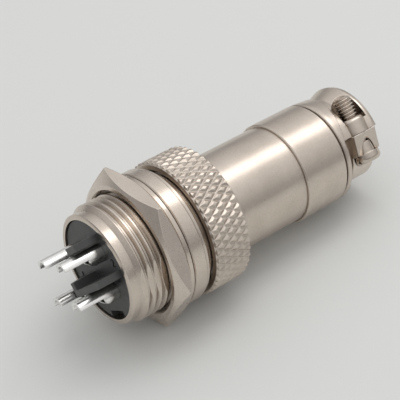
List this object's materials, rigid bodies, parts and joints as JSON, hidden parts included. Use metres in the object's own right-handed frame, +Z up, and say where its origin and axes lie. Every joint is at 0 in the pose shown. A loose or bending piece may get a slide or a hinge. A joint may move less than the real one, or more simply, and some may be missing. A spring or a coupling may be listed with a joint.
{
  "type": "circular aviation plug connector",
  "caption": "Round multi-pole metal connector: threaded panel socket with hex nut, mated cable plug with knurled coupling ring, backshell and screw cable clamp.",
  "frame": {"origin": "on the connector's axis, in the plane of the flange face that seats on the panel", "axes": "+X along the axis towards the cable end, +Z up as the mated pair lies on a flat of the hex nut"},
  "size_m": [0.048, 0.022, 0.019],
  "materials": {
    "satin_nickel": "satin nickel plate on turned brass and cast zinc",
    "bright_nickel": "bright nickel plate",
    "spring_steel": "plain spring steel",
    "black_moulding": "matt black thermoset moulding",
    "silver_plate": "silver plate on brass"
  },
  "bodies": {
    "socket": {"socket_shell": "satin_nickel", "socket_insert": "black_moulding", "socket_pin_1": "silver_plate", "socket_pin_2": "silver_plate", "socket_pin_3": "silver_plate", "socket_pin_4": "silver_plate"},
    "washer": {"lock_washer": "bright_nickel"},
    "nut": {"hex_nut": "satin_nickel"},
    "plug": {"plug_barrel": "satin_nickel", "snap_ring": "spring_steel", "plug_insert": "black_moulding", "plug_contact_1": "silver_plate", "plug_contact_2": "silver_plate", "plug_contact_3": "silver_plate", "plug_contact_4": "silver_plate", "backshell": "satin_nickel"},
    "ring": {"coupling_ring": "satin_nickel"},
    "jaw": {"clamp_jaw": "satin_nickel"},
    "screw_1": {"clamp_screw_1": "bright_nickel"},
    "screw_2": {"clamp_screw_2": "bright_nickel"}
  },
  "joints": [
    {"name": "plug_slide", "type": "slide", "parent": "socket", "child": "plug", "axis": [1, 0, 0], "range_m": [0, 0.0036]},
    {"name": "ring_turn", "type": "hinge", "parent": "plug", "child": "ring", "pos_m": [0.006, 0, 0], "axis": [1, 0, 0], "range_deg": [0, 1296]},
    {"name": "washer_slide", "type": "slide", "parent": "socket", "child": "washer", "axis": [-1, 0, 0], "range_m": [0, 0.0048]},
    {"name": "nut_turn", "type": "hinge", "parent": "washer", "child": "nut", "pos_m": [-0.002, 0, 0], "axis": [-1, 0, 0], "range_deg": [0, 1728]},
    {"name": "clamp_jaw_slide", "type": "slide", "parent": "plug", "child": "jaw", "axis": [0, -0.6428, -0.766], "range_m": [0, 0.002]},
    {"name": "clamp_screw_1_turn", "type": "hinge", "parent": "jaw", "child": "screw_1", "pos_m": [0.03195, -0.00429, 0.0036], "axis": [0, -0.6428, -0.766], "range_deg": [0, 1600]},
    {"name": "clamp_screw_2_turn", "type": "hinge", "parent": "jaw", "child": "screw_2", "pos_m": [0.03195, 0.00429, -0.0036], "axis": [0, -0.6428, -0.766], "range_deg": [0, 1600]}
  ],
  "couplings": [
    {"joint": "ring_turn", "follows": "plug_slide", "rad_per_m": 6283.2},
    {"joint": "nut_turn", "follows": "washer_slide", "rad_per_m": 6283.2},
    {"joint": "clamp_screw_1_turn", "follows": "clamp_jaw_slide", "rad_per_m": 13963},
    {"joint": "clamp_screw_2_turn", "follows": "clamp_jaw_slide", "rad_per_m": 13963}
  ]
}
